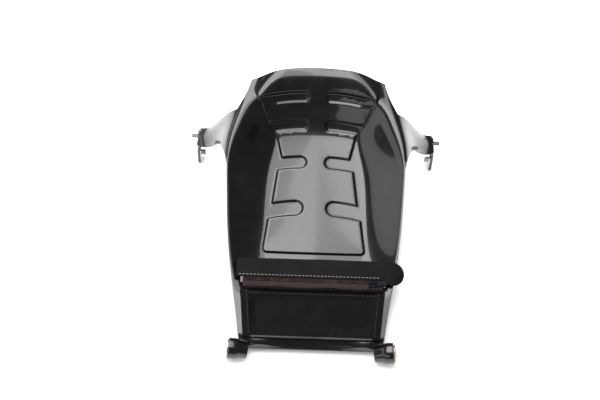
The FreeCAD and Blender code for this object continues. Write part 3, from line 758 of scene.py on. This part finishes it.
def flap_edges(x):
    # Lower and upper edge: a half-round tab at the right end, a round corner at the upper left.
    middle = FLAP_START + FLAP_WIDE - FLAP_TAB
    arc = math.sqrt(max(0.0, FLAP_TAB ** 2 - (x - FLAP_RIGHT) ** 2))
    tab_start = FLAP_RIGHT - math.sqrt(FLAP_TAB ** 2 - (middle - FLAP_START) ** 2)
    low = FLAP_START if x < tab_start else middle - arc
    high = FLAP_START + FLAP_WIDE if x < FLAP_RIGHT else middle + arc
    corner = max(0.0, FLAP_CORNER - (x + FLAP_LEFT))
    high -= FLAP_CORNER - math.sqrt(FLAP_CORNER ** 2 - corner ** 2)
    return low, high


def pouch_flap():
    grid = []
    for i in range(FLAP_COLS + 1):
        x = -FLAP_LEFT + (FLAP_LEFT + FLAP_RIGHT + FLAP_TAB - FLAP_SHORT) * i / FLAP_COLS
        low, high = flap_edges(x)
        ys = [low + (high - low) * k / FLAP_ROWS for k in range(FLAP_ROWS + 1)]
        grid.append([(x, y, LEATHER + flap_lift(x, y)) for y in ys])
    points, faces = slab(grid, LEATHER)
    faces = [tuple(reversed(f)) for f in faces]
    flap = piece("pouch_flap_sheet", points, faces, MATS["flap_leather"], "cover")
    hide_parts("pouch_flap")
    rounded(flap, FLAP_ROUND, segments=3, sharp=50)


def stitches(name, spots, mat=THREAD):
    # One short thread per spot: place, direction along the seam, half length.
    verts = []
    quads = []
    out = Vector((0, 0, 1))
    for place, along, long in spots:
        along = Vector(along).normalized()
        across = out.cross(along).normalized()
        first = len(verts)
        for i in range(THREAD_RINGS + 1):
            lat = math.pi * (i / THREAD_RINGS - 0.5)
            wide = math.cos(lat) ** THREAD_BLUNT + THREAD_END
            spot = Vector(place) + along * (math.sin(lat) * long)
            for k in range(THREAD_AROUND):
                turn = 2 * math.pi * k / THREAD_AROUND
                aside = across * (THREAD_WIDE * wide * math.cos(turn))
                verts.append(spot + aside + out * (THREAD_HIGH * wide * math.sin(turn)))
        quads += [tuple(first + k for k in f) for f in tube(THREAD_RINGS, THREAD_AROUND)]
    piece(name, verts, quads, mat, "cover")


def band_stitches():
    spots = []
    for side in (-1, 1):
        for k in range(BAND_COUNT):
            y = BAND_FIRST + PITCH * k
            place = (side * (half_at(y) - BAND + BAND_SEAM), y, LEATHER + BAND_HIGH)
            spots.append((place, (side * BAND_LEAN, 1, 0), BAND_STITCH))
    stitches("band_stitches", spots)


def row_across(name, row, y, high, half, mat=THREAD):
    # A row of stitches across the pouch, with a function for the height of each one.
    spots = [((x, y, high(x)), (1, 0, 0), half) for x in np.arange(*row, PITCH)]
    stitches(name, spots, mat)


def panel_stitches(panel):
    inverse = POUCH.inverted()
    places = [inverse @ v.co for v in panel.data.vertices]
    skin = BVHTree.FromPolygons(places, [tuple(f.vertices) for f in panel.data.polygons])

    def high(x):
        hit = skin.ray_cast(Vector((x, PANEL_SEAM, RAY_START)), Vector((0, 0, -1)))[0]
        return (hit.z if hit else LEATHER) + PROUD

    row_across("panel_stitches", PANEL_ROW, PANEL_SEAM, high, PANEL_STITCH)


def flap_stitches():
    def high(x):
        return LEATHER + flap_lift(x, 0) + PROUD

    row_across("flap_stitches", FLAP_ROW, FLAP_START + FLAP_SEAM, high, FLAP_STITCH, PALE_THREAD)


def zip_stitches():
    def high(x):
        return ZIP_HIGH

    row_across("zip_stitches", ZIP_ROW, PANEL_LONG + ZIP_SEAM, high, ZIP_STITCH)


moulded_shell()
front = front_panel()
hem_highlight()
pouch_roll()
pouch_flap()
band_stitches()
panel_stitches(front)
flap_stitches()
zip_stitches()

# Camera at the photo's viewing angle: angles, distance, middle of the object, shift of the aim and lens.
YAW, ELEV, ROLL, DIST = math.radians(-1.6), math.radians(55.0), math.radians(2.0), 1.288
MIDDLE = Vector((0.0, SHIFT * MM, 0.046))
AIM_LEFT, AIM_UP = 0.0193, 0.0155
LENS, SENSOR, CLIP_END = 60.0, 36.0, 50.0
UPRIGHT = Vector((0, 0, 1))

# Floor and soft studio light: name, place, aim, width, length and power of each lamp.
FLOOR_HALF, FLOOR_HIGH, FLOOR_TONE, FLOOR_ROUGH = 6.0, -0.0005, 0.9, 0.8
LAMPS = (
    ("ceiling_left", (-0.43, 0.85, 2.0), (-0.43, 0.85, 0.0), 0.94, 3.2, 72),
    ("ceiling_right", (0.32, 0.85, 2.0), (0.32, 0.85, 0.0), 0.56, 3.2, 24),
    ("side_left", (-2.3, 0.4, 1.2), (0.0, 0.1, 0.0), 3.0, 1.6, 24),
    ("behind", (-1.5, -2.3, 1.5), (0.0, 0.1, 0.0), 2.6, 1.2, 16),
)
WORLD_STRENGTH, WORLD_IN_GLOSS = 1.0, 0.15


def photo_camera():
    back = Vector((math.sin(YAW) * math.cos(ELEV), -math.cos(YAW) * math.cos(ELEV), math.sin(ELEV)))
    right = (-back).cross(UPRIGHT).normalized()
    up = right.cross(-back)
    eye = MIDDLE + back * DIST
    aim = MIDDLE - right * AIM_LEFT + up * AIM_UP
    forward = (aim - eye).normalized()
    right = forward.cross(UPRIGHT).normalized()
    up = right.cross(forward)
    turned = right * math.cos(ROLL) + up * math.sin(ROLL)
    up = up * math.cos(ROLL) - right * math.sin(ROLL)
    camera = bpy.data.objects.new("camera", bpy.data.cameras.new("camera"))
    camera.data.lens = LENS
    camera.data.sensor_width = SENSOR
    camera.data.clip_end = CLIP_END
    camera.matrix_world = Matrix((
        (turned.x, up.x, -forward.x, eye.x),
        (turned.y, up.y, -forward.y, eye.y),
        (turned.z, up.z, -forward.z, eye.z),
        (0, 0, 0, 1),
    ))
    bpy.context.scene.collection.objects.link(camera)
    bpy.context.scene.camera = camera


def studio_floor():
    half = FLOOR_HALF
    mesh = bpy.data.meshes.new("floor")
    corners = [(-half, -half, 0), (half, -half, 0), (half, half, 0), (-half, half, 0)]
    mesh.from_pydata(corners, [], [(0, 1, 2, 3)])
    floor = bpy.data.objects.new("floor", mesh)
    floor.location = (0, 0, FLOOR_HIGH)
    bpy.context.scene.collection.objects.link(floor)
    mat, tree, shader = material("floor")
    shader.inputs["Base Color"].default_value = (FLOOR_TONE, FLOOR_TONE, FLOOR_TONE, 1)
    shader.inputs["Roughness"].default_value = FLOOR_ROUGH
    floor.data.materials.append(mat)


def area_lamp(name, place, aim, wide, long, watts):
    light = bpy.data.lights.new(name, "AREA")
    light.shape = "RECTANGLE"
    light.size = wide
    light.size_y = long
    light.energy = watts
    obj = bpy.data.objects.new(name, light)
    obj.location = place
    obj.rotation_euler = (Vector(aim) - Vector(place)).to_track_quat("-Z", "Y").to_euler()
    bpy.context.scene.collection.objects.link(obj)


def studio_world():
    # White all round, dimmer where it is mirrored.
    world = bpy.data.worlds.new("studio")
    bpy.context.scene.world = world
    world.use_nodes = True
    tree = world.node_tree
    ground = tree.nodes["Background"]
    paths = tree.nodes.new("ShaderNodeLightPath")
    tone = tree.nodes.new("ShaderNodeMix")
    tone.inputs["A"].default_value = WORLD_STRENGTH
    tone.inputs["B"].default_value = WORLD_IN_GLOSS
    tree.links.new(paths.outputs["Is Glossy Ray"], tone.inputs["Factor"])
    tree.links.new(tone.outputs["Result"], ground.inputs["Strength"])
    ground.inputs["Color"].default_value = (1, 1, 1, 1)


photo_camera()
studio_floor()
for lamp in LAMPS:
    area_lamp(*lamp)
studio_world()
bpy.context.scene.view_settings.view_transform = "Standard"
